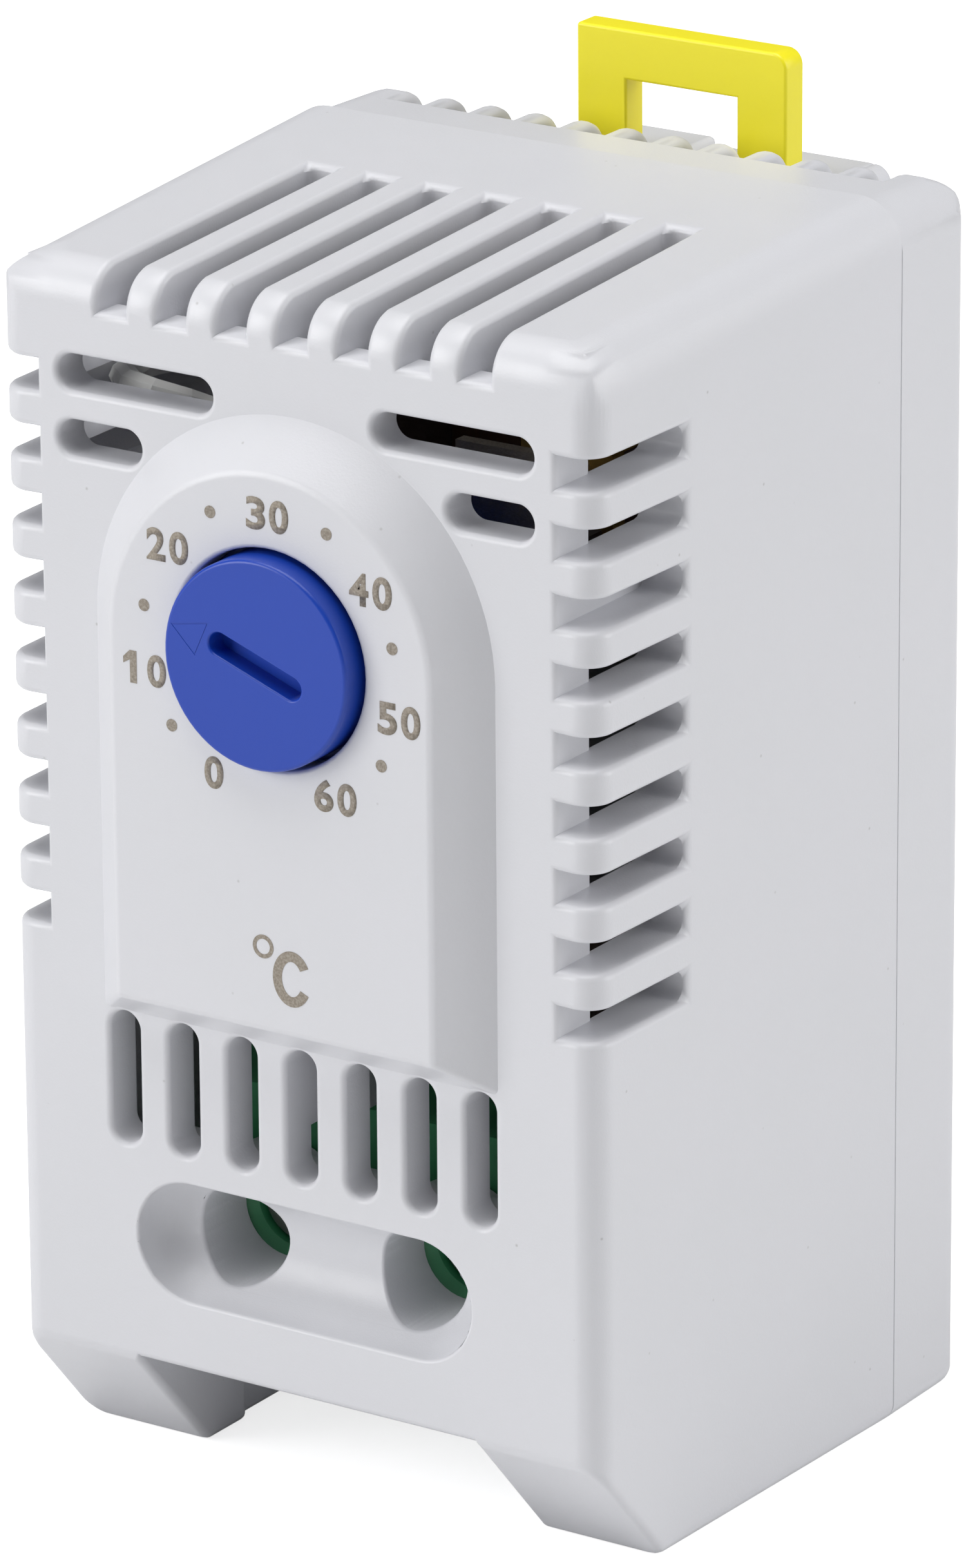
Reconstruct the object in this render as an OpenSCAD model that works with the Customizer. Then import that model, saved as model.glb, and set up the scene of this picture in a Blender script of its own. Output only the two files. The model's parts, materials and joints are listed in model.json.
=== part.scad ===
// Small room thermostat for a control cabinet: a two-part moulded case with a setting dial,
// a two-pole terminal block reached through the front, and a sprung slide that grips a rail.
// Lengths are in millimetres. Inside the modules Y counts from the case's front face backwards,
// X from the middle and Z from the feet; place() moves all to the part's own origin.

/* [Case] */
// Width of the case at its front face
case_w = 32.8; // [32.6:0.1:35]
// Height of the case from the feet to its top at the rear ends of the top slots
case_h = 60.7; // [60.2:0.1:62]
// Depth of the case from the front face to the rear face
case_d = 31.9; // [31.5:0.1:33]
// Depth of the rear cover's shell
cover_d = 6.8; // [6.6:0.1:7.2]
// Wall thickness of both mouldings
wall = 2.1; // [2:0.05:2.2]
// Draft of the front housing's sides, in degrees
draft_deg = 1.7; // [1.2:0.1:1.9]
// Slope of the front housing's top, in degrees
rise_deg = 3.1; // [2.5:0.1:3.3]
// Draft of the rear cover's sides and top, in degrees
cover_deg = 1; // [0.5:0.1:1.5]
// Step from the housing's top down to the cover's
cover_step = 0.3; // [0.2:0.05:0.4]
// Radius along the top front edge
brow_r = 2; // [1.6:0.1:2.4]
// Radius along the two top side edges
top_r = 2.3; // [2:0.1:2.6]
// Radius of the upright front edges
corner_r = 1.4; // [1:0.1:1.8]
// Radius round the rear face
rear_r = 1.8; // [1.2:0.1:2]
// Width of one leg
leg_w = 6.85; // [6.6:0.05:7]
// Height of the cable passage between the legs
leg_h = 6.4; // [6.1:0.1:6.6]
// Height of the bevelled toe of a leg
toe_h = 6.3; // [5.8:0.1:6.3]
// How far the bevelled toe of a leg runs back
toe_run = 5.7; // [5.2:0.1:6.2]

/* [Dial] */
// Distance from the top of the case to the dial's axis
dial_drop = 17.25; // [17:0.05:17.5]
// Width of the raised dial panel at its foot
panel_w = 22; // [21:0.1:23]
// Height of the raised dial panel
panel_h = 2.1; // [1.9:0.05:2.1]
// Width of the panel's bevel along the arch and the sides
bevel_run = 2.2; // [1.8:0.1:2.4]
// Width of the panel's bevel at its lower end
bevel_foot = 1.57; // [1.4:0.01:1.8]
// Diameter of the dial's face
knob_d = 10.05; // [9.6:0.05:10.4]
// How far the dial stands out of the panel
knob_stand = 1.05; // [0.9:0.05:1.4]
// Length of the screwdriver slot in the dial
knob_slot_l = 5.3; // [4.8:0.1:5.6]
// Width of the screwdriver slot in the dial
knob_slot_w = 1.1; // [0.8:0.05:1.2]
// Depth of the screwdriver slot in the dial
knob_slot_t = 1.1; // [0.8:0.1:1.4]
// Angle from the top mark to the dial's pointer as it stands, to the left
pointer_deg = 70; // [50:5:90]

/* [Vents] */
// Number of slots in each side
side_vents = 9; // [7:1:9]
// Distance between the side slots
side_pitch = 3.265; // [3.2:0.005:3.35]
// Height of a side slot
side_slot = 1.5; // [1.3:0.05:1.7]
// Distance from the top of the case to the first side slot
side_drop = 5.8; // [5.7:0.1:6.2]
// How far a side slot runs back
side_run = 7.4; // [7:0.1:8]
// Number of slots over the top front edge
top_vents = 7; // [5:2:7]
// Distance between the top slots, and between the upright front slots
vent_pitch = 3.325; // [3.25:0.005:3.4]
// Width of a top slot
top_slot = 1.6; // [1.4:0.05:1.8]
// How far a top slot runs back
top_run = 17.4; // [16.5:0.1:18]
// How far a top slot reaches down the front
top_reach = 3.04; // [2.8:0.02:3.3]
// Number of upright front slots
low_vents = 7; // [5:2:7]
// Width of an upright front slot
low_slot = 1.68; // [1.5:0.02:1.8]
// Lower end of the upright front slots above the feet
low_foot = 17.15; // [17:0.05:17.4]
// Length of an upright front slot
low_len = 6.6; // [6.4:0.1:6.8]
// Height of the flat slots beside the dial
flat_slot = 1.74; // [1.5:0.02:1.9]
// Length of an upper flat slot
flat_long = 8.68; // [8:0.02:9]
// Length of a lower flat slot
flat_short = 4.66; // [4.2:0.02:4.8]
// Distance between the two flat slots
flat_pitch = 3.15; // [3:0.05:3.3]
// Number of slots over the rear top edge
rear_vents = 11; // [9:2:11]
// Distance between the rear slots
rear_pitch = 2.58; // [2.5:0.01:2.62]
// Width of a rear slot
rear_slot = 1.4; // [1.2:0.05:1.5]

/* [Terminals] */
// Height of the terminal screws above the feet
term_z = 12.8; // [12.7:0.05:13]
// Distance between the two terminal screws
term_pitch = 10.16; // [10:0.02:10.3]
// Diameter of a screwdriver hole in the front
access_d = 4.8; // [4.4:0.1:5]
// Height of the scooped recess round the holes
scoop_h = 6; // [5.6:0.1:6.2]
// Width of the scooped recess
scoop_w = 18.8; // [18:0.1:19.4]
// Depth of the scooped recess
scoop_t = 2.8; // [2.6:0.05:2.9]
// Diameter of a wire hole in the terminal block
wire_d = 3.2; // [2.8:0.1:3.4]
// Diameter of the terminal screws' thread
screw_d = 3; // [2.8:0.1:3.2]
// Travel of a clamp cage
clamp_travel = 2.3; // [2:0.1:2.35]

/* [Rail mount] */
// Width of the mounting rail
rail_w = 35; // [34.8:0.1:35.2]
// Thickness of the rail's lip
rail_lip = 1; // [0.9:0.05:1.1]
// Depth of the mounting rail
rail_t = 7.5; // [7.3:0.1:7.6]
// How far hook and slide reach over the rail's lips
rail_bite = 1.45; // [1.2:0.05:1.6]
// Width of the release slide
slide_w = 11.8; // [11:0.1:12]
// Thickness of the release slide
slide_t = 1.6; // [1.4:0.1:1.8]
// How far the slide's pull stands above the case
slide_rise = 4; // [3.6:0.1:4.4]
// Width of the window in the slide's pull
window_w = 6.2; // [6:0.1:7]
// Height of the window in the slide's pull
window_h = 4.3; // [4.25:0.05:4.6]
// Height of the bar above the window
pull_bar = 2.5; // [2.2:0.05:2.6]
// Travel of the release slide
slide_travel = 2.2; // [1.8:0.1:2.3]

/* [Switch works] */
// Distance from the front face to the circuit board
board_y = 20; // [19.9:0.05:20.3]
// Thickness of the circuit board
board_t = 1.5; // [1.4:0.05:1.6]
// Thickness of the frame's and the lever's sheet metal
sheet = 1; // [0.9:0.05:1.1]
// Diameter of the adjusting spindle
spindle_d = 3; // [2.8:0.1:3.2]
// Height of the dial's axis above the lever's pivot
lever_arm = 12.45; // [12.2:0.05:12.6]
// Diameter of the pivot pin
pivot_d = 1.5; // [1.4:0.05:1.6]
// Width of the bimetal strip
strip_w = 6; // [5.6:0.1:6.2]
// Thickness of the bimetal strip
strip_t = 0.7; // [0.6:0.05:0.75]
// Length of the bimetal strip
strip_l = 21.9; // [21.6:0.1:22.2]
// Gap between the contacts
contact_gap = 0.9; // [0.85:0.05:1.1]

/* [Hidden] */
$fn = 48;
// Overrun of every cut past the solid that it cuts
cut = 1;
// Play of a piece that is set into or against another
seat = 0.02;
// Running play of a shaft or a thread in its hole, each side
run = 0.05;
// Clearance between pieces that stand next to each other
clear = 0.2;
// Clearance between pieces that slide past each other
gap = 0.3;
// Open seam between the two mouldings
seam = 0.05;

// Case levels
knob_out = panel_h + knob_stand;
block_over = 0.1;
block_y = case_d + rail_t + block_over;
front_y = (knob_out - block_y) / 2;
split_y = case_d - cover_d;
split_half = case_w / 2 + split_y * tan(draft_deg);
front_high = case_h - top_run * tan(rise_deg);
split_high = front_high + split_y * tan(rise_deg);
floor_z = leg_h + wall;
roof_z = case_h - wall;
inner_x = case_w / 2 - wall;
inner_y = case_d - wall;

// Legs: outer corner radii, inner wall, sole, and the small step in their inner faces
leg_x = case_w / 2 - leg_w;
foot_r = 1.1;
heel_r = 2.4;
leg_wall = 1.55;
leg_sole = 1.8;
leg_step = 0.4;
leg_step_y = 9;

// Dial panel, and the pocket behind it that holds the dial's flange and its stop
dial_z = case_h - dial_drop;
panel_land = 0.13;
panel_low = low_foot + low_len + panel_land;
knob_play = 0.25;
pocket_y = wall - panel_h;
pocket_r = 7.6;
pocket_half = 6.8;
pocket_foot = 1;
stop_half_deg = 20.5;
stop_r = 6.3;
stop_t = 1.35;

// Vents: how deep the side slots reach past the wall, the linings that deepen them, the one
// that a rib closes, the fins under the brow, and where the flat slots and rear slots lie
vent_in = 0.08;
side_lining = 0.25;
front_lining = 0.68;
lining_w = 2;
lining_run = 1;
lining_lap = 0.4;
lined_from = 3;
closed_vent = 2;
fin_drop = 2.5;
fin_run = 4;
flat_out = 13.05;
flat_rise = 11.15;
rear_run = 2.9;
rear_reach = 3.2;

// Ribs in the front housing
rib_half = 0.6;
rib_off = 0.3;
rib_deep = 3.9;
rib_low = 2.15;
rib_h = 10.7;
post_rib_w = (inner_x - term_pitch) / 2;
post_rib_h = 3.6;

// Recess for the terminals and the tubes behind it
scoop_r = (scoop_h * scoop_h / 4 + scoop_t * scoop_t) / (2 * scoop_t);
scoop_half = (scoop_w - scoop_h) / 2;
shroud_rim = 0.7;
tube_wall = 1.3;
tube_l = 4.1;
tube_y = wall + tube_l;

// Snap arms of the cover and their recesses in the housing
arm_w = 6;
arm_t = 1.2;
arm_play = 0.15;
arm_reach = 3.3;
arm_y = split_y - arm_reach;
arm_low = 14;
arm_rise = 22;
barb = 0.4;
barb_l = 1.7;
recess_t = 0.55;

// Locating tongues of the cover
tongue_half = 10.6;
tongue_t = 1;
tongue_l = 1.2;

// Terminal block with its pockets
block_front = tube_y + gap;
block_back = board_y - seat;
block_low = floor_z + clear;
block_h = 10;
head_d = 3.9;
head_t = 1.6;
head_in = 0.7;
head_seat = 0.8;
head_slot_w = 0.6;
head_slot_t = 0.8;
head_y = block_front + head_in;
funnel = 0.5;
funnel_l = 0.4;

// Clamp cages, from the screw's thread to the wire's rest
cage_half = 2.6;
cage_wall = 0.7;
cage_nut = 1.2;
cage_back = 0.8;
cage_h = 4.6;
cage_low = term_z - cage_h / 2;
pocket_front = head_y + head_t + head_seat;
cage_y = pocket_front + clear / 2 + clamp_travel;
bar_t = 0.9;
bar_y0 = cage_y + cage_nut + gap;
bar_half = 1.7;
bar_over = 2.3;
bar_top = cage_low + cage_h + bar_over;
bar_foot = 0.5;
pin_half = 0.5;
pin_out = 1.1;
wire_y = bar_y0 + bar_t + wire_d / 2;
cage_end = wire_y + wire_d / 2 + clear + cage_back;
shank_end = bar_y0 - run - clear / 2;

// Wire windows in the floor
window_half = 3.8;
window_in = 3.9;

// Circuit board
board_play = 1;
board_half = inner_x - board_play;
board_low = floor_z + board_play;
board_top = roof_z - wall;
board_post = 2.4;
post_r = 1.5;

// Dial, spindle and bush
knob_r = knob_d / 2;
flange_r = 6;
flange_t = 1;
flange_y = pocket_y + clear;
lug_r = 7;
lug_half_deg = 8;
stem_r = 2.6;
socket_w = 2.5;
socket_y = 2.2;
head_w = 2.4;
head_l = 4;
head_out = 0.4;
tip_share = 1.25;
bush_r = 2.5;
bush_lip_r = 3.2;
bush_lip = 0.5;
bush_l = 2.8;

// Switch frame and lever
pivot_in = 5;
pivot_y = board_y - pivot_in;
pivot_z = dial_z - lever_arm;
frame_y = 8.2;
frame_left = 5.6;
frame_right = 12.2;
plate_right = 3.9;
plate_half = 6.5;
base_low = 2;
base_h = 7;
ear_y = 12;
tab_h = 2;
tab_low = 2;
tab_high = 17;
tab_out = 0.4;
lever_in = 1.8;
lever_y = pivot_y - lever_in;
lever_up = 16;
lever_low = 1;
ear_r = 1.3;
pin_over = 0.4;
stem_y = frame_y - bush_lip - gap;
tip_y = lever_y - run;

// Bimetal strip with its rivets, contact and armature
strip_x = 7.5;
strip_y = 6.7;
strip_low = pivot_z - lever_low / 2;
strip_play = 0.06;
foot_h = 5.5;
rivet_r = 0.7;
rivet_play = 0.08;
rivet_head_r = 0.9;
rivet_head_t = 0.4;
rivet_z = [1.7, 3.7];
arm_plate_h = 2.8;
arm_plate_low = 14.1;
arm_plate_t = 0.7;
magnet_half = 1.9;
magnet_gap = 0.8;
magnet_h = 3;
contact_up = 19.9;
contact_r = 1.2;
contact_t = 0.5;
contact_dome = 0.4;
fixed_r = 1.3;
post_back = 11.4;
contact_half = 2.5;
contact_rise = 1.8;
contact_plate_h = 8.7;
contact_tab = 1;

// Return spring behind the lever
coil_r = 1.5;
coil_wire = 0.35;
coil_turns = 5;

// Rail hooks at the lower end of the cover
hook_x = [3, 8];
hook_up = 0.6;
hook_low = leg_h + hook_up;
hook_run = 0.5;
hook_t = 3.8;
hook_bevel = 1.4;
hook_play = 0.25;

// Release slide and its guide
slide_y = case_d + rail_lip + clear;
slide_half = slide_w / 2;
lip_top = case_h / 2 + rail_w / 2;
lip_low = case_h / 2 - rail_w / 2;
nose_z = lip_top - rail_bite;
nose_t = 3;
nose_h = 2;
nose_flat = 1.2;
pull_r = 0.8;
lug_half = 1.5;
lug_low = 3.2;
lug_h = 1.2;
lug_y = 3.6;
guide_low = nose_z + nose_h + slide_travel + clear;
guide_drop = 2.55;
guide_top = case_h - guide_drop;
cheek_x = slide_half + gap;
cheek_t = 1.85;
guide_y = slide_y + slide_t + gap;
guide_r = 1;
channel_half = 1.9;
shelf_drop = 1.55;
shelf_share = 0.25;
web_t = 0.8;
core_x = [3.2, 6.6];
core_edge = 1.6;
core_t = 2.5;
spacer_x = 4.5;
spacer_half = 0.5;
spacer_y = slide_y - arm_play;
spacer_top = case_h - rear_reach - spacer_half;

// Slide spring
spring_r = 1.3;
spring_wire = 0.4;
spring_turns = 5;
spring_y = (guide_y + block_y - web_t) / 2;
spring_z = [nose_z + lug_low + lug_h + run, guide_top - shelf_drop - run];

// Springs and lead are swept with this many sides, springs with this many rings a turn
sides = 6;
rings = 8;
lead_sides = 8;
lead_r = 0.7;
// Route of the sleeved lead: from the board along the housing's left side, X counted from its
// inner face, then to the frame, X counted from the frame's leg
lead_start = [3.8, 50.5];
lead_along = [
    [3.7, 18.6, 50.5], [3.1, 17.2, 50.9], [2.3, 15.6, 51.5], [1.7, 13.4, 52], [1.3, 11, 52.6],
    [1.1, 8.6, 52.9], [1.2, 6.4, 53.1], [1.7, 4.7, 53.2], [2.7, 3.8, 53.2], [4, 3.8, 53], [5.3, 4.6, 52.5]
];
lead_across = [[2.4, 6.2, 51.6], [1.8, 8, 50.4], [1.5, 9.8, 49], [1, 10.6, 48.6]];
lead_end = [10.7, 48.5];
lead_route = concat(
    [[lead_start[0] - inner_x, board_y - seat, lead_start[1]]],
    [for (p = lead_along) [p[0] - inner_x, p[1], p[2]]],
    [for (p = lead_across) [-frame_left - p[0], p[1], p[2]]],
    [[-frame_left - seat, lead_end[0], lead_end[1]]]
);

// Moves what is drawn from the front face to the part's own origin
module place() {
    translate([0, front_y, 0]) children();
}

// What is drawn, and its mirror image on the other side of the case
module pair() {
    children();
    mirror([1, 0, 0]) children();
}

// Box between two values on each axis
module span(x, y, z) {
    translate([x[0], y[0], z[0]]) cube([x[1] - x[0], y[1] - y[0], z[1] - z[0]]);
}

// Round bars along X, Y and Z
module bar_x(r, x, y, z) {
    translate([x[0], y, z]) rotate([0, 90, 0]) cylinder(h = x[1] - x[0], r = r);
}
module bar_y(r, x, y, z) {
    translate([x, y[0], z]) rotate([-90, 0, 0]) cylinder(h = y[1] - y[0], r = r);
}
module bar_z(r, x, y, z) {
    translate([x, y, z[0]]) cylinder(h = z[1] - z[0], r = r);
}

// Cone along Y from one radius to another
module cone_y(r, x, y, z) {
    translate([x, y[0], z]) rotate([-90, 0, 0]) cylinder(h = y[1] - y[0], r1 = r[0], r2 = r[1]);
}

// Flat outlines drawn out along X, Y and Z
module from_side(x) {
    translate([x[0], 0, 0]) rotate([90, 0, 90]) linear_extrude(x[1] - x[0]) children();
}
module from_front(y) {
    translate([0, y[1], 0]) rotate([90, 0, 0]) linear_extrude(y[1] - y[0]) children();
}
module from_above(z) {
    translate([0, 0, z[0]]) linear_extrude(z[1] - z[0]) children();
}

// Rectangle between two values on each axis, with a radius for each corner:
// low left, low right, high left, high right
module soft_rect(a, b, r) {
    difference() {
        translate([a[0], b[0]]) square([a[1] - a[0], b[1] - b[0]]);
        for (i = [0:3]) {
            u = i % 2;
            v = floor(i / 2);
            if (r[i] > 0) {
                difference() {
                    translate([a[u] - (u == 0 ? cut : r[i]), b[v] - (v == 0 ? cut : r[i])])
                        square(r[i] + cut);
                    translate([a[u] + (u == 0 ? r[i] : -r[i]), b[v] + (v == 0 ? r[i] : -r[i])])
                        circle(r = r[i]);
                }
            }
        }
    }
}

// Slot with round ends, upright or flat, cut along Y
module slot_upright(w, x, y, z) {
    from_front(y) union() {
        translate([x - w / 2, z[0] + w / 2]) square([w, z[1] - z[0] - w]);
        for (v = [z[0] + w / 2, z[1] - w / 2]) {
            translate([x, v]) circle(d = w);
        }
    }
}
module slot_flat(h, x, y, z) {
    from_front(y) union() {
        translate([x[0] + h / 2, z - h / 2]) square([x[1] - x[0] - h, h]);
        for (u = [x[0] + h / 2, x[1] - h / 2]) {
            translate([u, z]) circle(d = h);
        }
    }
}

// Sector of a ring round an axis along Y, about the upright direction
module sector_y(r, half_deg, y) {
    translate([0, y[0], 0]) rotate([-90, 0, 0]) rotate([0, 0, -90 - half_deg])
        rotate_extrude(angle = 2 * half_deg) translate([r[0], 0]) square([r[1] - r[0], y[1] - y[0]]);
}

// Points of a ring of the given sides, in the plane of two unit vectors
function ring(c, r, u, v, n) =
    [for (i = [0:n - 1]) c + r * (u * cos(360 * i / n) + v * sin(360 * i / n))];
function unit(v) = v / norm(v);

// Closed tube through rings of n points each
module tube(points, n) {
    count = len(points) / n;
    sides_of = [for (k = [0:count - 2]) for (i = [0:n - 1]) each [
        [k * n + i, k * n + (i + 1) % n, (k + 1) * n + i],
        [k * n + (i + 1) % n, (k + 1) * n + (i + 1) % n, (k + 1) * n + i]
    ]];
    first = [for (i = [1:n - 2]) [0, i + 1, i]];
    last = [for (i = [1:n - 2]) [(count - 1) * n, (count - 1) * n + i, (count - 1) * n + i + 1]];
    polyhedron(points = points, faces = concat(sides_of, first, last), convexity = 10);
}

// Centre line of a coil along Z, its tube, and the least gap between its turns
function coil_at(a, r, z, turns) = [r * cos(a), r * sin(a), z[0] + (z[1] - z[0]) * a / (360 * turns)];
function coil_line(r, z, turns) =
    [for (k = [0:rings * turns]) coil_at(k * 360 / rings, r, z, turns)];
function least_gap(line, wire) =
    min([for (i = [0:len(line) - 1]) for (j = [i + rings / 2:1:len(line) - 1]) norm(line[i] - line[j])])
    - wire;
module coil(r, wire, z, turns) {
    ends = [z[0] + wire / 2, z[1] - wire / 2];
    rise = (ends[1] - ends[0]) / (turns * 2 * PI * r);
    points = [for (k = [0:rings * turns]) let (
        a = k * 360 / rings,
        out = [cos(a), sin(a), 0],
        along = unit([-sin(a), cos(a), rise])
    ) each ring(coil_at(a, r, ends, turns), wire / 2, out, cross(along, out), sides)];
    tube(points, sides);
}

// Tube of a lead along its route
module lead(route, r) {
    n = len(route) - 1;
    points = [for (k = [0:n]) let (
        along = unit(route[min(k + 1, n)] - route[max(k - 1, 0)]),
        square_to = k == 0 ? [0, -1, 0] : k == n ? [1, 0, 0] : along,
        across = unit(cross(square_to, [0, 0, 1]))
    ) each ring(route[k], r, across, cross(across, square_to), lead_sides)];
    tube(points, lead_sides);
}

// What a rounding takes off between the line u = 0 and one that leaves height v at an angle
module lean_corner(v, r, lean) {
    c = v - r * (1 - sin(lean)) / cos(lean);
    difference() {
        translate([-cut, c]) square([cut + r * (1 - sin(lean)), r + 2 * cut]);
        translate([r, c]) circle(r = r);
    }
}

// Outer form of one moulding: sides lean and the top climbs from the plane Y = from, where it has
// the given half width and height. The edges round its end face are rounded, toe and heel cut off
module case_form(from, half, high, lean, climb, end, side_r, high_r) {
    end_half = half + (end - from) * tan(lean);
    end_high = high + (end - from) * tan(climb);
    difference() {
        intersection() {
            pair() translate([half, from, 0]) {
                rotate([0, 0, -lean]) from_front([-case_d, case_d])
                    soft_rect([-half - wall, 0], [0, case_h / 2], [0, foot_r, 0, 0]);
                translate([0, 0, high]) rotate([climb, 0, -lean]) from_front([-case_d, case_d])
                    soft_rect([-half - wall, 0], [-case_h / 2 - wall, 0], [0, 0, 0, top_r]);
            }
            span([-case_w, case_w], [0, case_d], [0, 2 * case_h]);
        }
        translate([0, end, 0]) mirror([0, end, 0]) {
            from_side([-case_w, case_w]) lean_corner(end_high, high_r, abs(climb));
            pair() from_above([-cut, 2 * case_h]) mirror([1, -1]) lean_corner(end_half, side_r, abs(lean));
        }
        from_side([-case_w, case_w]) {
            polygon([
                [-cut, -cut], [toe_run * (1 + cut / toe_h), -cut], [-cut, toe_h * (1 + cut / toe_run)]
            ]);
            translate([case_d, 0]) rotate([0, 0, 180]) lean_corner(0, heel_r, 0);
        }
    }
}

// Raised dial panel: half a cone over a prism with a bevelled foot
module dial_panel() {
    foot = panel_w / 2;
    face = foot - bevel_run;
    intersection() {
        cone_y([face, foot], 0, [-panel_h, 0], dial_z);
        span([-foot - cut, foot + cut], [-knob_out, cut], [dial_z, case_h]);
    }
    intersection() {
        from_above([panel_low, dial_z])
            polygon([[-foot, 0], [foot, 0], [face, -panel_h], [-face, -panel_h]]);
        from_side([-foot, foot])
            polygon([[0, panel_low], [0, dial_z], [-panel_h, dial_z], [-panel_h, panel_low + bevel_foot]]);
    }
}

// Space inside one leg, its front sloped like the toe
module leg_space() {
    steep = norm([toe_run, toe_h]) / toe_h;
    back = wall * steep;
    from_side([leg_x + leg_wall, inner_x]) polygon([
        [wall, floor_z + cut], [wall, toe_h * (1 - (wall - back) / toe_run)],
        [toe_run * (1 - leg_sole / toe_h) + back, leg_sole], [inner_y, leg_sole],
        [inner_y, floor_z + cut]
    ]);
}

// Scooped recess for the two screwdriver holes
module scoop() {
    translate([0, scoop_t - scoop_r, term_z]) rotate([0, 90, 0]) rotate_extrude() intersection() {
        union() {
            translate([0, -scoop_half]) square([scoop_r, 2 * scoop_half]);
            for (v = [-scoop_half, scoop_half]) {
                translate([0, v]) circle(r = scoop_r);
            }
        }
        translate([0, -scoop_half - 2 * scoop_r]) square([2 * scoop_r, 2 * (scoop_half + 2 * scoop_r)]);
    }
}

// Height of a side slot, counted from the top one
function side_vent(i) =
    [case_h - side_drop - i * side_pitch - side_slot, case_h - side_drop - i * side_pitch];

// Linings that deepen the side slots, the rib that closes one, and the fins under the brow
module vent_linings() {
    low = side_vent(side_vents - 1)[0] - lining_lap;
    rib = side_vent(closed_vent);
    pair() {
        span([inner_x - side_lining, inner_x + cut], [wall - cut, side_run + lining_run],
            [low, side_vent(0)[1] + lining_lap]);
        span([inner_x - lining_w, inner_x + cut], [wall - cut, wall + front_lining],
            [low, side_vent(lined_from)[1] + lining_lap]);
        span([inner_x - lining_w, inner_x + cut], [wall - cut, side_run + lining_run],
            [rib[0] - lining_lap, rib[1] + lining_lap]);
    }
    span([-inner_x - cut, inner_x + cut], [wall - cut, wall + fin_run], [roof_z - fin_drop, roof_z + cut]);
}

// Ventilation slots of the front housing
module front_vents() {
    pair() for (i = [0:side_vents - 1]) {
        z = side_vent(i);
        span([inner_x - vent_in, case_w / 2 + cut], [-cut, side_run], z);
        if (i != closed_vent) {
            span([inner_x - side_lining - cut, inner_x], [wall + front_lining, side_run], z);
        }
    }
    for (i = [-floor(top_vents / 2):floor(top_vents / 2)]) {
        x = [i * vent_pitch - top_slot / 2, i * vent_pitch + top_slot / 2];
        span(x, [-cut, top_run], [case_h - top_reach, case_h + 2 * cut]);
        span(x, [wall, wall + fin_run + cut], [roof_z - fin_drop - cut, roof_z]);
    }
    for (i = [-floor(low_vents / 2):floor(low_vents / 2)]) {
        slot_upright(low_slot, i * vent_pitch, [-cut, wall + cut], [low_foot, low_foot + low_len]);
    }
    pair() {
        slot_flat(flat_slot, [flat_out - flat_long, flat_out], [-cut, wall + cut], dial_z + flat_rise);
        slot_flat(
            flat_slot, [flat_out - flat_short, flat_out], [-cut, wall + cut],
            dial_z + flat_rise - flat_pitch
        );
    }
}

module front_housing() {
    shroud = [scoop_half + scoop_h / 2 + shroud_rim, scoop_h / 2 + shroud_rim];
    board_rib = [inner_x - post_rib_w, inner_x + cut];
    color([0.86, 0.86, 0.88]) place() difference() {
        union() {
            difference() {
                union() {
                    case_form(0, case_w / 2, front_high, draft_deg, rise_deg, 0, corner_r, brow_r);
                    dial_panel();
                }
                span([-case_w, case_w], [split_y, case_d + cut], [-cut, 2 * case_h]);
                span([-inner_x, inner_x], [wall, case_d], [floor_z, roof_z]);
                span([-leg_x, leg_x], [-cut, case_d], [-cut, leg_h]);
                pair() leg_space();
                bar_y(pocket_r, 0, [pocket_y, wall + cut], dial_z);
                span(
                    [-pocket_half, pocket_half], [pocket_y, wall + cut],
                    [panel_low + bevel_foot + pocket_foot, dial_z]
                );
            }
            vent_linings();
            // Stop for the dial's lug
            translate([0, 0, dial_z])
                sector_y([stop_r, pocket_r + run], stop_half_deg, [pocket_y, pocket_y + stop_t]);
            // Body of the scooped recess and the two screwdriver tubes
            span([-shroud[0], shroud[0]], [wall, scoop_t + wall], [term_z - shroud[1], term_z + shroud[1]]);
            pair() bar_y(access_d / 2 + tube_wall, term_pitch / 2, [wall, tube_y], term_z);
            // Stiffening rib behind the upright slots, and ribs that carry the board
            span([-rib_off - rib_half, -rib_off + rib_half], [wall, wall + rib_deep],
                [low_foot + rib_low, low_foot + rib_low + rib_h]);
            pair() for (z = [[roof_z - post_rib_h, roof_z + cut], [floor_z - cut, floor_z + board_post]]) {
                span(board_rib, [wall, board_y - seat], z);
            }
        }
        scoop();
        pair() bar_y(access_d / 2, term_pitch / 2, [0, tube_y + cut], term_z);
        front_vents();
        bar_y(knob_r + knob_play, 0, [-panel_h - cut, wall], dial_z);
        pair() {
            span([leg_x - cut, leg_x + leg_step], [leg_step_y, case_d], [-cut, leg_h]);
            span(
                [term_pitch / 2 - window_half, term_pitch / 2 + window_half],
                [wire_y - window_in, wire_y + window_in], [leg_h - cut, floor_z + cut]
            );
            for (z = [arm_low, arm_low + arm_rise]) {
                span(
                    [inner_x - cut, inner_x + recess_t],
                    [arm_y + barb, arm_y + barb + barb_l + clear], [z - clear, z + arm_w + clear]
                );
            }
        }
    }
}

// Arm that snaps into the housing, drawn for the right side
module snap_arm(z) {
    x = [inner_x - arm_play - arm_t, inner_x - arm_play];
    tip = x[1] + barb + seat;
    from_above([z, z + arm_w]) polygon([
        [x[0], arm_y], [x[1], arm_y], [tip, arm_y + barb + barb_l / 2],
        [tip, arm_y + barb + barb_l], [x[1], arm_y + barb + barb_l], [x[1], inner_y + cut],
        [x[0], inner_y + cut]
    ]);
}

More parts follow.
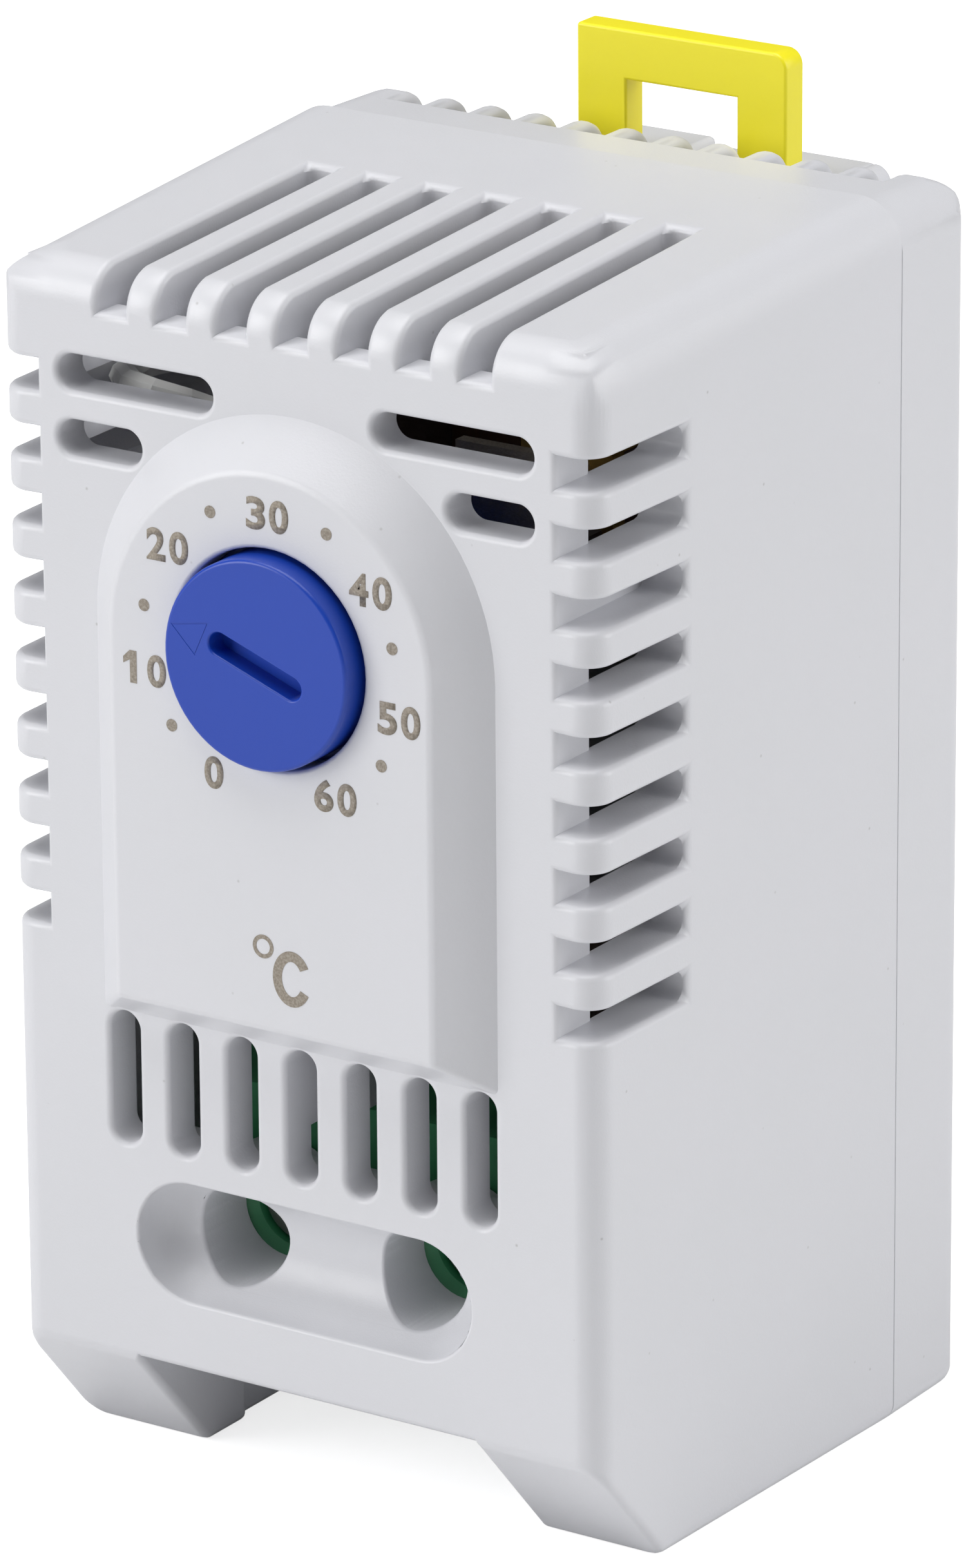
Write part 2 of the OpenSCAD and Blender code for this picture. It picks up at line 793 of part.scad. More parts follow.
// Fixed hook that takes the rail's lower lip
module rail_hook() {
    y = case_d + rail_lip + gap;
    top = lip_low + rail_bite;
    from_side(hook_x) polygon([
        [case_d - cut, hook_low], [y + hook_t, hook_low + hook_run],
        [y + hook_t, top - hook_bevel], [y + hook_t - hook_bevel, top], [y, top],
        [y, lip_low - hook_play], [case_d - cut, lip_low - hook_play]
    ]);
}

// Half of the guide that carries the release slide and its spring
module slide_guide() {
    x = [channel_half, cheek_x + cheek_t];
    difference() {
        union() {
            from_front([case_d - cut, block_y])
                soft_rect([cheek_x, x[1]], [guide_low, guide_top], [0, 0, 0, guide_r]);
            from_front([guide_y, block_y])
                soft_rect([x[0], cheek_x + guide_r], [guide_low, guide_top], [0, 0, 0, 0]);
        }
        span(core_x, [block_y - core_t, block_y + cut], [guide_low + core_edge, guide_top - core_edge]);
        span([0, case_w], [0, case_d - seat], [guide_low - cut, case_h]);
    }
    span([spacer_x - spacer_half, spacer_x + spacer_half], [case_d - cut, spacer_y],
        [guide_low, spacer_top]);
}

module rear_cover() {
    post_z = [board_low + board_post, board_top - board_post];
    color([0.84, 0.84, 0.87]) place() union() {
        difference() {
            case_form(
                split_y, split_half, split_high - cover_step, -cover_deg, -cover_deg, case_d, rear_r, rear_r
            );
            span([-case_w, case_w], [-cut, split_y + seam], [-cut, 2 * case_h]);
            span([-inner_x, inner_x], [wall, inner_y], [floor_z, roof_z]);
            span([-leg_x, leg_x], [-cut, case_d + cut], [-cut, leg_h]);
            pair() {
                leg_space();
                span([leg_x - cut, leg_x + leg_step], [leg_step_y, case_d + cut], [-cut, leg_h]);
            }
            for (i = [-floor(rear_vents / 2):floor(rear_vents / 2)]) {
                x = i * rear_pitch;
                span(
                    [x - rear_slot / 2, x + rear_slot / 2], [case_d - rear_run, case_d + cut],
                    [case_h - rear_reach, case_h + 2 * cut]
                );
            }
        }
        pair() {
            for (z = post_z) {
                bar_y(post_r, board_half - board_post, [board_y + board_t + seat, inner_y + cut], z);
            }
            snap_arm(arm_low);
            snap_arm(arm_low + arm_rise);
            rail_hook();
            slide_guide();
        }
        // Tongues that locate the cover in the housing
        for (z = [floor_z + clear, roof_z - clear - tongue_t]) {
            span([-tongue_half, tongue_half], [split_y - tongue_l, inner_y + cut], [z, z + tongue_t]);
        }
        // Shelf above the spring and the web behind it
        span([-channel_half - cut, channel_half + cut], [guide_y, block_y],
            [guide_top - shelf_drop, guide_top - shelf_drop * shelf_share]);
        span([-channel_half - cut, channel_half + cut], [block_y - web_t, block_y],
            [guide_low, guide_top - shelf_drop]);
    }
}

module din_slide() {
    top = case_h + slide_rise;
    nose = slide_y + nose_t;
    window = [top - pull_bar - window_h, top - pull_bar];
    color([0.96, 0.9, 0.2]) place() union() {
        difference() {
            from_front([slide_y, slide_y + slide_t])
                soft_rect([-slide_half, slide_half], [nose_z, top], [0, 0, 0, pull_r]);
            span([-window_w / 2, window_w / 2], [slide_y - cut, slide_y + slide_t + cut], window);
        }
        from_side([-slide_half, slide_half]) polygon([
            [slide_y, nose_z], [slide_y + nose_flat, nose_z],
            [nose, nose_z + nose_t - nose_flat], [nose, nose_z + nose_h],
            [slide_y, nose_z + nose_h]
        ]);
        span([-lug_half, lug_half], [slide_y, slide_y + slide_t + lug_y],
            [nose_z + lug_low, nose_z + lug_low + lug_h]);
    }
}

module slide_spring() {
    color([0.7, 0.71, 0.73]) place() translate([0, spring_y, 0])
        coil(spring_r, spring_wire, spring_z, spring_turns);
}

module dial_knob() {
    color([0.22, 0.33, 0.68]) place() translate([0, 0, dial_z]) rotate([0, -pointer_deg, 0]) difference() {
        union() {
            bar_y(knob_r, 0, [-knob_out, flange_y], 0);
            bar_y(flange_r, 0, [flange_y, flange_y + flange_t], 0);
            bar_y(stem_r, 0, [flange_y, stem_y], 0);
            rotate([0, 180, 0])
                sector_y([flange_r - cut, lug_r], lug_half_deg, [flange_y, flange_y + flange_t]);
        }
        slot_upright(
            knob_slot_w, 0, [-knob_out - cut, -knob_out + knob_slot_t], [-knob_slot_l / 2, knob_slot_l / 2]
        );
        from_front([socket_y, stem_y + cut]) square(socket_w, center = true);
        bar_y(spindle_d / 2 + clear, 0, [socket_y + head_out + head_l - gap, stem_y + cut], 0);
    }
}

module adjusting_spindle() {
    head = [socket_y + head_out, socket_y + head_out + head_l];
    r = spindle_d / 2;
    ball = r * tip_share;
    color([0.78, 0.66, 0.36]) place() translate([0, 0, dial_z]) rotate([0, -pointer_deg, 0]) union() {
        from_front(head) square(head_w, center = true);
        bar_y(r, 0, [head[1], tip_y - r / 2], 0);
        intersection() {
            translate([0, tip_y - ball, 0]) sphere(r = ball);
            bar_y(r, 0, [tip_y - ball, tip_y + cut], 0);
        }
    }
}

module spindle_bush() {
    color([0.75, 0.63, 0.34]) place() difference() {
        union() {
            bar_y(bush_lip_r, 0, [frame_y - bush_lip, frame_y], dial_z);
            bar_y(bush_r, 0, [frame_y, frame_y + bush_l], dial_z);
        }
        bar_y(spindle_d / 2 + run, 0, [0, board_y], dial_z);
    }
}

// Pressed steel frame on the board: a leg, a front plate for the bush, a base and an ear
module switch_frame() {
    left = [-frame_left, -frame_left + sheet];
    right = [frame_right - sheet, frame_right];
    base = [pivot_z - base_low, pivot_z - base_low + base_h];
    tabs = [pivot_z + tab_low - base_low, pivot_z + tab_high - base_low];
    color([0.62, 0.63, 0.65]) place() difference() {
        union() {
            span([left[0], plate_right], [frame_y, frame_y + sheet],
                [dial_z - plate_half, dial_z + plate_half]);
            span(left, [frame_y, board_y], [base[0], dial_z + plate_half]);
            span([left[0], right[1]], [board_y - sheet, board_y], base);
            span(right, [ear_y, board_y], base);
            for (z = tabs) {
                span(left, [board_y - sheet, board_y + board_t + tab_out], [z, z + tab_h]);
            }
            span(right, [board_y - sheet, board_y + board_t + tab_out], [tabs[0], tabs[0] + tab_h]);
        }
        bar_y(bush_r + seat, 0, [frame_y - cut, frame_y + sheet + cut], dial_z);
        bar_x(pivot_d / 2 + seat, [left[0] - cut, right[1] + cut], pivot_y, pivot_z);
    }
}

module pivot_pin() {
    color([0.72, 0.73, 0.75]) place()
        bar_x(pivot_d / 2, [-frame_left - pin_over, frame_right + pin_over], pivot_y, pivot_z);
}

// Lever between the spindle's tip and the return spring; its forward foot carries the strip
module carrier_lever() {
    ears = [[-frame_left + sheet + gap, 0], [frame_right - sheet - gap - sheet, 0]];
    low = pivot_z - lever_low;
    foot_y = strip_y + strip_t + strip_play;
    foot_x = [strip_x - strip_w / 2, strip_x + strip_w / 2];
    color([0.66, 0.67, 0.69]) place() difference() {
        union() {
            span(
                [ears[0][0], ears[1][0] + sheet], [lever_y, lever_y + sheet],
                [low, pivot_z + lever_up]
            );
            for (e = ears) {
                span([e[0], e[0] + sheet], [lever_y, pivot_y], [pivot_z - ear_r, pivot_z + ear_r]);
                bar_x(ear_r, [e[0], e[0] + sheet], pivot_y, pivot_z);
            }
            span(foot_x, [foot_y, lever_y + sheet], [low, low + sheet]);
            span(foot_x, [foot_y, foot_y + sheet], [low, low + foot_h]);
        }
        bar_x(pivot_d / 2 + run, [-case_w, case_w], pivot_y, pivot_z);
        for (z = rivet_z) {
            bar_y(rivet_r + rivet_play, strip_x, [foot_y - cut, foot_y + sheet + cut], strip_low + z);
        }
    }
}

module bimetal_strip() {
    color([0.74, 0.72, 0.68]) place() difference() {
        span(
            [strip_x - strip_w / 2, strip_x + strip_w / 2], [strip_y, strip_y + strip_t],
            [strip_low, strip_low + strip_l]
        );
        for (z = rivet_z) {
            bar_y(rivet_r, strip_x, [strip_y - cut, strip_y + strip_t + cut], strip_low + z);
        }
    }
}

module strip_rivets() {
    foot_y = strip_y + strip_t + strip_play;
    back = foot_y + sheet + strip_play;
    color([0.8, 0.79, 0.76]) place() for (z = rivet_z) {
        bar_y(rivet_head_r, strip_x, [strip_y - rivet_head_t, strip_y], strip_low + z);
        bar_y(rivet_r, strip_x, [strip_y, back], strip_low + z);
        bar_y(rivet_head_r, strip_x, [back, back + rivet_head_t], strip_low + z);
    }
}

module armature_plate() {
    y = strip_y + strip_t;
    low = strip_low + arm_plate_low;
    color([0.6, 0.61, 0.63]) place()
        span([strip_x - magnet_half, strip_x + magnet_half], [y, y + arm_plate_t], [low, low + arm_plate_h]);
}

module moving_contact() {
    y = strip_y + strip_t;
    ball = (contact_r * contact_r + contact_dome * contact_dome) / (2 * contact_dome);
    color([0.85, 0.85, 0.83]) place() translate([strip_x, 0, strip_low + contact_up]) union() {
        bar_y(contact_r, 0, [y, y + contact_t], 0);
        intersection() {
            translate([0, y + contact_t + contact_dome - ball, 0]) sphere(r = ball);
            bar_y(contact_r, 0, [y + contact_t, y + contact_t + contact_r], 0);
        }
    }
}

module fixed_contact() {
    y = strip_y + strip_t + contact_t + contact_dome + contact_gap;
    color([0.85, 0.85, 0.83]) place() bar_y(fixed_r, strip_x, [y, post_back], strip_low + contact_up);
}

// Angled brass arm on the board that carries the fixed contact and the magnet
module contact_arm() {
    top = strip_low + contact_up + contact_rise;
    x = [strip_x - contact_half, strip_x + contact_half];
    color([0.8, 0.68, 0.36]) place() union() {
        span(x, [post_back, post_back + sheet], [top - contact_plate_h, top]);
        span(x, [post_back, board_y], [top - sheet, top]);
        span([strip_x - contact_tab, strip_x + contact_tab], [board_y - sheet, board_y + board_t + tab_out],
            [top - sheet, top]);
    }
}

module snap_magnet() {
    y = strip_y + strip_t + arm_plate_t + magnet_gap;
    low = strip_low + arm_plate_low;
    color([0.3, 0.3, 0.31]) place()
        span([strip_x - magnet_half, strip_x + magnet_half], [y, post_back], [low, low + magnet_h]);
}

module return_spring() {
    color([0.7, 0.71, 0.73]) place() translate([0, board_y, dial_z]) rotate([90, 0, 0])
        coil(coil_r, coil_wire, [run, board_y - lever_y - sheet - run], coil_turns);
}

module circuit_board() {
    tabs = [pivot_z + tab_low - base_low, pivot_z + tab_high - base_low];
    through = [board_y - cut, board_y + board_t + cut];
    left = [-frame_left - run, -frame_left + sheet + run];
    right = [frame_right - sheet - run, frame_right + run];
    arm_top = strip_low + contact_up + contact_rise;
    color([0.42, 0.26, 0.14]) place() difference() {
        span([-board_half, board_half], [board_y, board_y + board_t], [board_low, board_top]);
        for (z = tabs) {
            span(left, through, [z - run, z + tab_h + run]);
        }
        span(right, through, [tabs[0] - run, tabs[0] + tab_h + run]);
        span([strip_x - contact_tab - run, strip_x + contact_tab + run], through,
            [arm_top - sheet - run, arm_top + run]);
        pair() bar_y(norm([pin_half, pin_half]) + run, term_pitch / 2, through, bar_top - pin_half);
    }
}

module terminal_block() {
    side = clear / 2;
    color([0.12, 0.45, 0.24]) place() difference() {
        span([-term_pitch, term_pitch], [block_front, block_back], [block_low, block_low + block_h]);
        pair() translate([term_pitch / 2, 0, 0]) {
            cone_y(
                [head_d / 2 + clear + funnel, head_d / 2 + clear], 0,
                [block_front - seat, block_front + funnel_l], term_z
            );
            bar_y(head_d / 2 + clear, 0, [block_front - cut, head_y + head_t + seat], term_z);
            bar_y(screw_d / 2 + clear, 0, [block_front, pocket_front + cut], term_z);
            span(
                [-cage_half - side, cage_half + side], [pocket_front, block_back + cut],
                [cage_low - clear, cage_low + cage_h + clear]
            );
            span(
                [-bar_half - side, bar_half + side], [bar_y0 - side, bar_y0 + bar_t + side],
                [cage_low - clear - bar_foot - seat, bar_top + side]
            );
            span(
                [-pin_half - side, pin_half + side], [bar_y0, block_back + cut],
                [bar_top - 2 * pin_half - side, bar_top + side]
            );
            bar_z(wire_d / 2, 0, wire_y, [block_low - cut, term_z]);
        }
    }
}

// One pole's screw, clamp cage and busbar, drawn on the pole's own axis
module pole(s) {
    place() translate([s * term_pitch / 2, 0, 0]) children();
}
module terminal_screw() {
    color([0.75, 0.75, 0.74]) difference() {
        union() {
            bar_y(head_d / 2, 0, [head_y, head_y + head_t], term_z);
            bar_y(screw_d / 2, 0, [head_y + head_t, shank_end], term_z);
        }
        span([-head_d, head_d], [head_y - cut, head_y + head_slot_t],
            [term_z - head_slot_w / 2, term_z + head_slot_w / 2]);
    }
}
module clamp_cage() {
    color([0.7, 0.71, 0.72]) difference() {
        span([-cage_half, cage_half], [cage_y, cage_end], [cage_low, cage_low + cage_h]);
        span([cage_wall - cage_half, cage_half - cage_wall], [cage_y + cage_nut, cage_end - cage_back],
            [cage_low - cut, cage_low + cage_h + cut]);
        bar_y(screw_d / 2 + run, 0, [cage_y - cut, cage_y + cage_nut + cut], term_z);
    }
}
module busbar() {
    color([0.8, 0.68, 0.36]) union() {
        span([-bar_half, bar_half], [bar_y0, bar_y0 + bar_t], [cage_low - clear - bar_foot, bar_top]);
        span([-pin_half, pin_half], [bar_y0, board_y + board_t + pin_out],
            [bar_top - 2 * pin_half, bar_top]);
    }
}

module lead_wire() {
    color([0.93, 0.93, 0.92]) place() lead(lead_route, lead_r);
}

echo(slide_spring_gap = least_gap(
    coil_line(spring_r, [spring_z[0] + spring_wire / 2, spring_z[1] - spring_wire / 2], spring_turns),
    spring_wire
));
echo(return_spring_gap = least_gap(
    coil_line(coil_r, [coil_wire, board_y - lever_y - sheet - coil_wire], coil_turns), coil_wire
));

front_housing();
rear_cover();
din_slide();
slide_spring();
dial_knob();
adjusting_spindle();
spindle_bush();
switch_frame();
pivot_pin();
carrier_lever();
bimetal_strip();
strip_rivets();
armature_plate();
moving_contact();
fixed_contact();
contact_arm();
snap_magnet();
return_spring();
circuit_board();
terminal_block();
pole(-1) terminal_screw();  // terminal_screw_left
pole(1) terminal_screw();  // terminal_screw_right
pole(-1) clamp_cage();  // clamp_cage_left
pole(1) clamp_cage();  // clamp_cage_right
pole(-1) busbar();  // busbar_left
pole(1) busbar();  // busbar_right
lead_wire();
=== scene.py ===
import json
import math

import bmesh
import bpy
from mathutils import Matrix, Vector


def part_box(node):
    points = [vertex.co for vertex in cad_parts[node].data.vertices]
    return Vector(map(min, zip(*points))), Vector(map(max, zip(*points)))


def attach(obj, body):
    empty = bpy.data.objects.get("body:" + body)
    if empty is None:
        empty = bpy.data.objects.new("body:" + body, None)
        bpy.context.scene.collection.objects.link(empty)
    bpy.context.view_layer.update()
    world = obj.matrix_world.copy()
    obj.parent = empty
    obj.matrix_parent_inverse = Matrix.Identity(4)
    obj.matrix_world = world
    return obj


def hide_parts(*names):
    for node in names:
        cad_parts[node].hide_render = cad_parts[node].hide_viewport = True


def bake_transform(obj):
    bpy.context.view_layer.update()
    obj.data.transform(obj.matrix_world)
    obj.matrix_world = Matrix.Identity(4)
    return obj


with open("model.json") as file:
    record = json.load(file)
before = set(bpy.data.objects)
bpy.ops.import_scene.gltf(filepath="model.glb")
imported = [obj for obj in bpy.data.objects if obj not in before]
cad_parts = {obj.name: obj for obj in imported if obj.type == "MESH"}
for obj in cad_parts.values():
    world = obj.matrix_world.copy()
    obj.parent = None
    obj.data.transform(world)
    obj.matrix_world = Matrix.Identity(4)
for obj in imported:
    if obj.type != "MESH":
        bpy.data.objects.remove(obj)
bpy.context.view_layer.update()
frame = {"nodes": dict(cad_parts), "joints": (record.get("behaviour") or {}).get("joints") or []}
mm = 0.001
joints = {j["name"]: j for j in frame["joints"]}
dialCentre = Vector(joints["dial_turn"]["pos_m"])
caseLow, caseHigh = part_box("front_housing")
panelFace = caseLow.y  # the raised dial panel is the housing's foremost face
panelHeight = 2.1 * mm
frontFace = panelFace + panelHeight
print("frame loaded:", len(frame["nodes"]), "CAD nodes")


# Small helpers

def hexColor(text):  # sRGB hex to the linear colour that a shader socket takes
    values = [int(text[i:i + 2], 16) / 255 for i in (1, 3, 5)]
    return [v / 12.92 if v <= 0.04045 else ((v + 0.055) / 1.055) ** 2.4 for v in values] + [1.0]


def deselectAll():
    if bpy.context.object and bpy.context.object.mode != "OBJECT":
        bpy.ops.object.mode_set(mode="OBJECT")
    bpy.ops.object.select_all(action="DESELECT")


def makeActive(piece):
    deselectAll()
    bpy.context.view_layer.objects.active = piece
    piece.select_set(True)


def applyModifier(piece, kind, **settings):
    makeActive(piece)
    modifier = piece.modifiers.new(kind.lower(), kind)
    for name, value in settings.items():
        setattr(modifier, name, value)
    bpy.ops.object.modifier_apply(modifier=modifier.name)


def bakePlace(piece):
    makeActive(piece)
    bpy.ops.object.transform_apply(location=True, rotation=True, scale=True)


def joinPieces(pieces, name):
    deselectAll()
    for piece in pieces:
        piece.select_set(True)
    bpy.context.view_layer.objects.active = pieces[0]
    if len(pieces) > 1:
        bpy.ops.object.join()
    pieces[0].name = name
    return pieces[0]


def mergedCopy(nodeName, pieceName):  # a CAD mesh comes as loose triangles
    source = frame["nodes"][nodeName]
    piece = bpy.data.objects.new(pieceName, source.data.copy())
    bpy.context.scene.collection.objects.link(piece)
    tidyFaces(piece)
    piece.data.materials.clear()
    return piece


edgeSet = {
    "merge": 0.004,       # points nearer than this are one, mm
    "flatAngle": 0.5,     # faces that turn less than this become one, degrees
    "roundAngle": 30,     # edges that turn more than this may be rounded
    "creaseAngle": 36,    # edges that turn more than this stay crisp in the shading
    "normalWeight": 90,   # how far the large faces lead the shading
}


def tidyFaces(piece):
    makeActive(piece)
    bpy.ops.object.mode_set(mode="EDIT")
    bpy.ops.mesh.select_all(action="SELECT")
    bpy.ops.mesh.remove_doubles(threshold=edgeSet["merge"] * mm)
    bpy.ops.mesh.dissolve_limited(angle_limit=math.radians(edgeSet["flatAngle"]))
    bpy.ops.object.mode_set(mode="OBJECT")


def local(point):  # millimetres from the middle, the front face and the feet
    return point.x / mm, (point.y - frontFace) / mm, point.z / mm


def roundEdges(piece, radius, shareAt, segments=3):
    # shareAt gives each edge that turns sharply its share of the radius, 0 keeps it sharp
    makeActive(piece)
    bpy.ops.object.mode_set(mode="EDIT")
    mesh = bmesh.from_edit_mesh(piece.data)
    weight = mesh.edges.layers.float.new("bevel_weight_edge")
    for edge in mesh.edges:
        if len(edge.link_faces) == 2 and edge.calc_face_angle() > math.radians(edgeSet["roundAngle"]):
            start, end = [Vector(local(v.co)) for v in edge.verts]
            edge[weight] = shareAt((start + end) / 2, (end - start).normalized(), edge.is_convex)
    bmesh.update_edit_mesh(piece.data)
    bpy.ops.object.mode_set(mode="OBJECT")
    applyModifier(
        piece, "BEVEL", width=radius * mm, segments=segments, limit_method="WEIGHT",
        use_clamp_overlap=False, loop_slide=False, miter_outer="MITER_SHARP"
    )
    makeActive(piece)
    bpy.ops.object.shade_smooth()
    bpy.ops.object.mode_set(mode="EDIT")
    mesh = bmesh.from_edit_mesh(piece.data)
    crease = math.radians(edgeSet["creaseAngle"])
    for edge in mesh.edges:
        creased = len(edge.link_faces) == 2 and edge.calc_face_angle() > crease
        edge.smooth = not creased or isAtTopCorner(*local(edge.verts[0].co))
    bmesh.update_edit_mesh(piece.data)
    bpy.ops.object.mode_set(mode="OBJECT")
    applyModifier(piece, "WEIGHTED_NORMAL", keep_sharp=True, weight=edgeSet["normalWeight"])


# Camera: fitted to the case's straight edges in the photograph

cameraSet = {
    "azimuth": 33.469, "elevation": 19.216, "roll": -0.416,
    "place": (0.235759, -0.358869, 0.181204),
    "focalPixels": 14858.99, "frameHeight": 2433, "sensor": 36.0, "clip": (0.01, 50),
}


def addCamera():
    azimuth, elevation, roll = (math.radians(cameraSet[k]) for k in ("azimuth", "elevation", "roll"))
    back = Vector((
        math.sin(azimuth) * math.cos(elevation), -math.cos(azimuth) * math.cos(elevation),
        math.sin(elevation)
    ))
    right = Vector((0, 0, 1)).cross(back).normalized()
    up = back.cross(right)
    rolledRight = right * math.cos(roll) + up * math.sin(roll)
    rolledUp = up * math.cos(roll) - right * math.sin(roll)
    data = bpy.data.cameras.new("camera")
    data.sensor_fit = "VERTICAL"
    data.sensor_height = cameraSet["sensor"]
    data.lens = cameraSet["focalPixels"] * cameraSet["sensor"] / cameraSet["frameHeight"]
    data.clip_start, data.clip_end = cameraSet["clip"]
    camera = bpy.data.objects.new("camera", data)
    matrix = Matrix((rolledRight, rolledUp, back)).transposed().to_4x4()
    matrix.translation = Vector(cameraSet["place"])
    camera.matrix_world = matrix
    bpy.context.scene.collection.objects.link(camera)
    bpy.context.scene.camera = camera


addCamera()
print("camera set")


# Light: softboxes to the left, behind on the right and above, with nothing from the camera's side

lightSet = {
    "left": {"place": (-0.53, -0.63, 0.32), "size": 0.50, "power": 4.15},
    "right": {"place": (0.62, 0.30, 0.26), "size": 0.50, "power": 2.55},
    "top": {"place": (-0.03, -0.07, 0.72), "size": 0.60, "power": 4.1},
}
lampAim = (0, 0, 0.03)
ambient = 0.10
floorSet = {"size": 8, "card": "#F2F2F2", "glow": 0.72}


def addLight(name, place, size, power):
    data = bpy.data.lights.new(name, "AREA")
    data.shape = "SQUARE"
    data.size = size
    data.energy = power
    lamp = bpy.data.objects.new(name, data)
    lamp.location = place
    lamp.rotation_euler = (Vector(lampAim) - Vector(place)).to_track_quat("-Z", "Y").to_euler()
    bpy.context.scene.collection.objects.link(lamp)


def addNode(tree, kind, settings=None, inputs=None, links=None):
    # one node, with its settings, its input values and the sockets that feed it
    node = tree.nodes.new(kind)
    for name, value in (settings or {}).items():
        setattr(node, name, value)
    for name, value in (inputs or {}).items():
        node.inputs[name].default_value = value
    for name, socket in (links or {}).items():
        tree.links.new(socket, node.inputs[name])
    return node


def addWorld():  # white to the eye and through clear parts, and a low even light on the object
    world = bpy.data.worlds.new("studio")
    bpy.context.scene.world = world
    world.use_nodes = True
    tree = world.node_tree
    tree.nodes.clear()
    path = addNode(tree, "ShaderNodeLightPath")
    seen = addNode(tree, "ShaderNodeMath", {"operation": "MAXIMUM"}, None, {
        0: path.outputs["Is Camera Ray"], 1: path.outputs["Is Transmission Ray"]
    })
    soft = addNode(tree, "ShaderNodeBackground", None, {"Color": (1, 1, 1, 1), "Strength": ambient})
    white = addNode(tree, "ShaderNodeBackground", None, {"Color": (1, 1, 1, 1), "Strength": 1.0})
    mix = addNode(tree, "ShaderNodeMixShader", None, None, {
        0: seen.outputs[0], 1: soft.outputs[0], 2: white.outputs[0]
    })
    addNode(tree, "ShaderNodeOutputWorld", None, None, {"Surface": mix.outputs[0]})


def addFloor():
    bpy.ops.mesh.primitive_plane_add(size=floorSet["size"], location=(0, 0, 0))
    floor = bpy.context.object
    floor.name = "floor"
    material = bpy.data.materials.new("pale_card")
    material.use_nodes = True
    tree = material.node_tree
    tree.nodes.clear()
    path = addNode(tree, "ShaderNodeLightPath")
    card = addNode(tree, "ShaderNodeBsdfDiffuse", None, {"Color": hexColor(floorSet["card"])})
    glow = addNode(tree, "ShaderNodeEmission", None, {"Color": (1, 1, 1, 1), "Strength": floorSet["glow"]})
    seen = addNode(tree, "ShaderNodeMath", {"operation": "MAXIMUM"}, None, {
        0: path.outputs["Is Camera Ray"], 1: path.outputs["Is Transmission Ray"]
    })
    dark = addNode(tree, "ShaderNodeEmission", None, {"Color": (0, 0, 0, 1), "Strength": 0.0})
    shown = addNode(tree, "ShaderNodeMixShader", None, None, {
        0: seen.outputs[0], 1: dark.outputs[0], 2: glow.outputs[0]
    })
    both = addNode(tree, "ShaderNodeAddShader", None, None, {0: card.outputs[0], 1: shown.outputs[0]})
    addNode(tree, "ShaderNodeOutputMaterial", None, None, {"Surface": both.outputs[0]})
    floor.data.materials.append(material)


deselectAll()
for lightName, values in lightSet.items():
    addLight(lightName, **values)
addWorld()
addFloor()
bpy.context.scene.view_settings.view_transform = "Standard"
print("stage set")


# Materials: all sizes of patterns in millimetres

plasticSet = {"cloud": 9, "patch": 1.5, "sheenSpread": 0.06, "ior": 1.53, "scatterDepth": 0.6}
metalSet = {"sheenSpread": 0.1, "relief": 0.01, "reliefStrength": 0.6}
inkSet = {"speck": 0.12, "roughness": 0.7, "ior": 1.5}


def startMaterial(name):
    material = bpy.data.materials.new(name)
    material.use_nodes = True
    tree = material.node_tree
    tree.nodes.clear()
    place = addNode(tree, "ShaderNodeTexCoord").outputs["Object"]
    return material, tree, place


def finishMaterial(tree, shaderInputs, links=None):
    shader = addNode(tree, "ShaderNodeBsdfPrincipled", None, shaderInputs, links)
    addNode(tree, "ShaderNodeOutputMaterial", None, None, {"Surface": shader.outputs[0]})


def grainBump(tree, place, grainMm, heightMm):  # relief of a fine grain, by its width and height
    noise = addNode(tree, "ShaderNodeTexNoise", None, {
        "Scale": 1 / (grainMm * mm), "Detail": 3.0, "Roughness": 0.6
    }, {"Vector": place})
    return addNode(tree, "ShaderNodeBump", None, {
        "Strength": 1.0, "Distance": heightMm * mm
    }, {"Height": noise.outputs["Fac"]})


def mouldedPlastic(name, light, dark, roughness, grainMm, grainHeight, scatter=0.0, fleck=None):
    # injection moulding: one even colour, faintly cloudy, under a fine eroded skin that spreads
    # highlights wide where light grazes it; flecks are specks of burnt resin
    material, tree, place = startMaterial(name)
    clouds = addNode(tree, "ShaderNodeTexNoise", None, {
        "Scale": 1 / (plasticSet["cloud"] * mm), "Detail": 3.0
    }, {"Vector": place})
    tint = addNode(tree, "ShaderNodeMix", {"data_type": "RGBA"}, {
        "A": hexColor(light), "B": hexColor(dark)
    }, {"Factor": clouds.outputs["Fac"]}).outputs["Result"]
    if fleck:
        cells = addNode(tree, "ShaderNodeTexVoronoi", None, {
            "Scale": 1 / (fleck["apart"] * mm), "Randomness": 1.0
        }, {"Vector": place})
        spot = addNode(tree, "ShaderNodeMapRange", None, {
            "From Min": fleck["size"] / fleck["apart"], "From Max": 0.0, "To Max": fleck["strength"]
        }, {"Value": cells.outputs["Distance"]})
        tint = addNode(tree, "ShaderNodeMix", {"data_type": "RGBA"}, {
            "B": hexColor(fleck["color"])
        }, {"Factor": spot.outputs["Result"], "A": tint}).outputs["Result"]
    patches = addNode(tree, "ShaderNodeTexNoise", None, {
        "Scale": 1 / (plasticSet["patch"] * mm), "Detail": 4.0
    }, {"Vector": place})
    sheen = addNode(tree, "ShaderNodeMapRange", None, {
        "To Min": roughness - plasticSet["sheenSpread"], "To Max": roughness + plasticSet["sheenSpread"]
    }, {"Value": patches.outputs["Fac"]})
    bump = grainBump(tree, place, grainMm, grainHeight)
    finishMaterial(tree, {
        "IOR": plasticSet["ior"], "Subsurface Weight": scatter, "Subsurface Radius": (1.0, 0.9, 0.8),
        "Subsurface Scale": plasticSet["scatterDepth"] * mm
    }, {"Base Color": tint, "Roughness": sheen.outputs["Result"], "Normal": bump.outputs["Normal"]})
    return material


